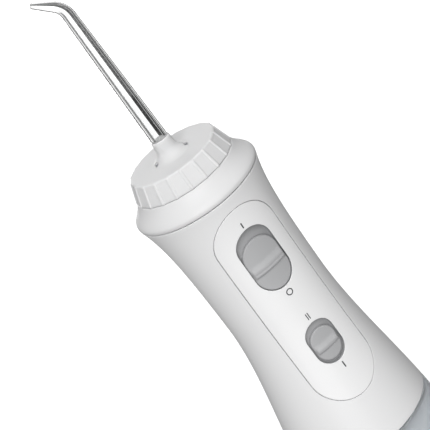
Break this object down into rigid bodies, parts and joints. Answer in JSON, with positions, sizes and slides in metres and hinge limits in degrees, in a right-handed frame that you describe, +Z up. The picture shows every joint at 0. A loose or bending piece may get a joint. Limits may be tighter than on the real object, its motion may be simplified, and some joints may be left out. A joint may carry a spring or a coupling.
{
  "type": "water flosser",
  "caption": "Cordless water flosser: waisted white grip with slide switches, rotating knob carrying a bent clear jet tip, and a frosted slide-off water tank as its base.",
  "frame": {"origin": "on the resting plane, at the foot of the axis on which the grip's neck, the knob and the jet tip are centred", "axes": "+Z up along that axis, towards the jet tip; -Y is the front with the switch panel, +Y the back where the tank bulges; +X completes the right-handed frame"},
  "size_m": [0.064, 0.0689, 0.2929],
  "materials": {
    "shell_white": "satin white ABS",
    "panel_white": "smooth white plastic",
    "knob_white": "slightly translucent white plastic",
    "slider_grey": "mid grey plastic",
    "floor_grey": "grey elastomer",
    "tip_clear": "clear polycarbonate",
    "tank_frost": "frosted translucent plastic",
    "seal_black": "black nitrile rubber",
    "pad_rubber": "grey rubber",
    "steel": "bright steel",
    "spring_steel": "spring steel",
    "frame_grey": "dark grey glass-filled plastic",
    "inner_white": "natural acetal",
    "gear_acetal": "cream acetal",
    "brass": "machined brass",
    "can_steel": "plated steel can",
    "copper": "copper windings",
    "black_plastic": "black plastic",
    "board_green": "solder-masked board",
    "cell_wrap": "shrink-wrapped cell",
    "silicone": "natural silicone",
    "button_grey": "grey plastic",
    "gold_contact": "plated contact"
  },
  "bodies": {
    "grip": {"handle_shell": "shell_white", "switch_panel": "panel_white", "shoulder_collar": "shell_white", "neck_deck": "inner_white", "power_floor": "floor_grey", "pressure_floor": "floor_grey", "circuit_board": "board_green", "power_switch": "steel", "pressure_switch": "steel", "battery_left": "cell_wrap", "battery_right": "cell_wrap", "battery_holder": "black_plastic", "battery_contacts": "gold_contact", "motor_can": "can_steel", "motor_endcap": "black_plastic", "gear_axle": "steel", "pump_body": "inner_white", "pump_head": "inner_white", "outlet_tube": "silicone", "suction_tube": "silicone", "chassis": "frame_grey", "base_cap": "frame_grey", "cap_seal": "seal_black", "reservoir_seal": "seal_black", "intake_tube": "silicone", "intake_filter": "steel", "charge_contacts": "gold_contact", "pump_screws": "steel", "cap_screws": "steel", "release_spring": "spring_steel"},
    "knob": {"rotation_knob": "knob_white", "knob_oring": "seal_black", "knob_clip": "spring_steel", "tip_latches": "frame_grey"},
    "tip": {"jet_tip": "tip_clear", "tip_oring": "seal_black"},
    "power_key": {"power_slider": "slider_grey"},
    "pressure_key": {"pressure_slider": "slider_grey"},
    "rotor": {"motor_armature": "copper", "motor_shaft": "steel", "pinion": "brass"},
    "crank_gear": {"drive_gear": "gear_acetal"},
    "plunger": {"piston": "inner_white", "piston_seal": "seal_black", "wrist_pin": "steel"},
    "rod": {"connecting_rod": "inner_white", "crank_pin": "steel"},
    "inlet_flap": {"inlet_valve": "seal_black"},
    "outlet_flap": {"outlet_valve": "seal_black"},
    "release_key": {"release_button": "button_grey"},
    "tank": {"reservoir": "tank_frost", "door_hinge_pin": "steel", "base_pad": "pad_rubber"},
    "tank_door": {"fill_door": "tank_frost", "door_seal": "seal_black"}
  },
  "joints": [
    {"name": "knob_spin", "type": "hinge", "parent": "grip", "child": "knob", "pos_m": [0, 0, 0.21], "axis": [0, 0, 1], "continuous": true},
    {"name": "tip_pull", "type": "slide", "parent": "knob", "child": "tip", "axis": [0, 0, 1], "range_m": [0, 0.024]},
    {"name": "power_slide", "type": "slide", "parent": "grip", "child": "power_key", "axis": [0, 0, 1], "range_m": [0, 0.005]},
    {"name": "pressure_slide", "type": "slide", "parent": "grip", "child": "pressure_key", "axis": [0, 0, 1], "range_m": [0, 0.0024]},
    {"name": "rotor_spin", "type": "hinge", "parent": "grip", "child": "rotor", "pos_m": [0, -0.01, 0.093], "axis": [0, 1, 0], "continuous": true},
    {"name": "gear_spin", "type": "hinge", "parent": "grip", "child": "crank_gear", "pos_m": [0, -0.01, 0.111], "axis": [0, 1, 0], "continuous": true},
    {"name": "piston_slide", "type": "slide", "parent": "grip", "child": "plunger", "axis": [0, 0, 1], "range_m": [-0.0068, 0]},
    {"name": "rod_swing", "type": "hinge", "parent": "plunger", "child": "rod", "pos_m": [0, -0.0065, 0.1384], "axis": [0, 1, 0], "range_deg": [-8.1, 8.1]},
    {"name": "inlet_lift", "type": "slide", "parent": "grip", "child": "inlet_flap", "axis": [0, 0, 1], "range_m": [0, 0.0008]},
    {"name": "outlet_lift", "type": "slide", "parent": "grip", "child": "outlet_flap", "axis": [0, 0, 1], "range_m": [0, 0.0008]},
    {"name": "release_press", "type": "slide", "parent": "grip", "child": "release_key", "axis": [0, -1, 0], "range_m": [0, 0.002], "stiffness_N_per_m": 600, "springref_m": -0.002, "deforming": ["release_spring"]},
    {"name": "tank_slide", "type": "slide", "parent": "grip", "child": "tank", "axis": [0, 0, -1], "range_m": [0, 0.08]},
    {"name": "door_swing", "type": "hinge", "parent": "tank", "child": "tank_door", "pos_m": [0, 0.04075, 0.027], "axis": [-1, 0, 0], "range_deg": [0, 110]}
  ],
  "couplings": [
    {"joint": "gear_spin", "follows": "rotor_spin", "ratio": -0.2}
  ]
}
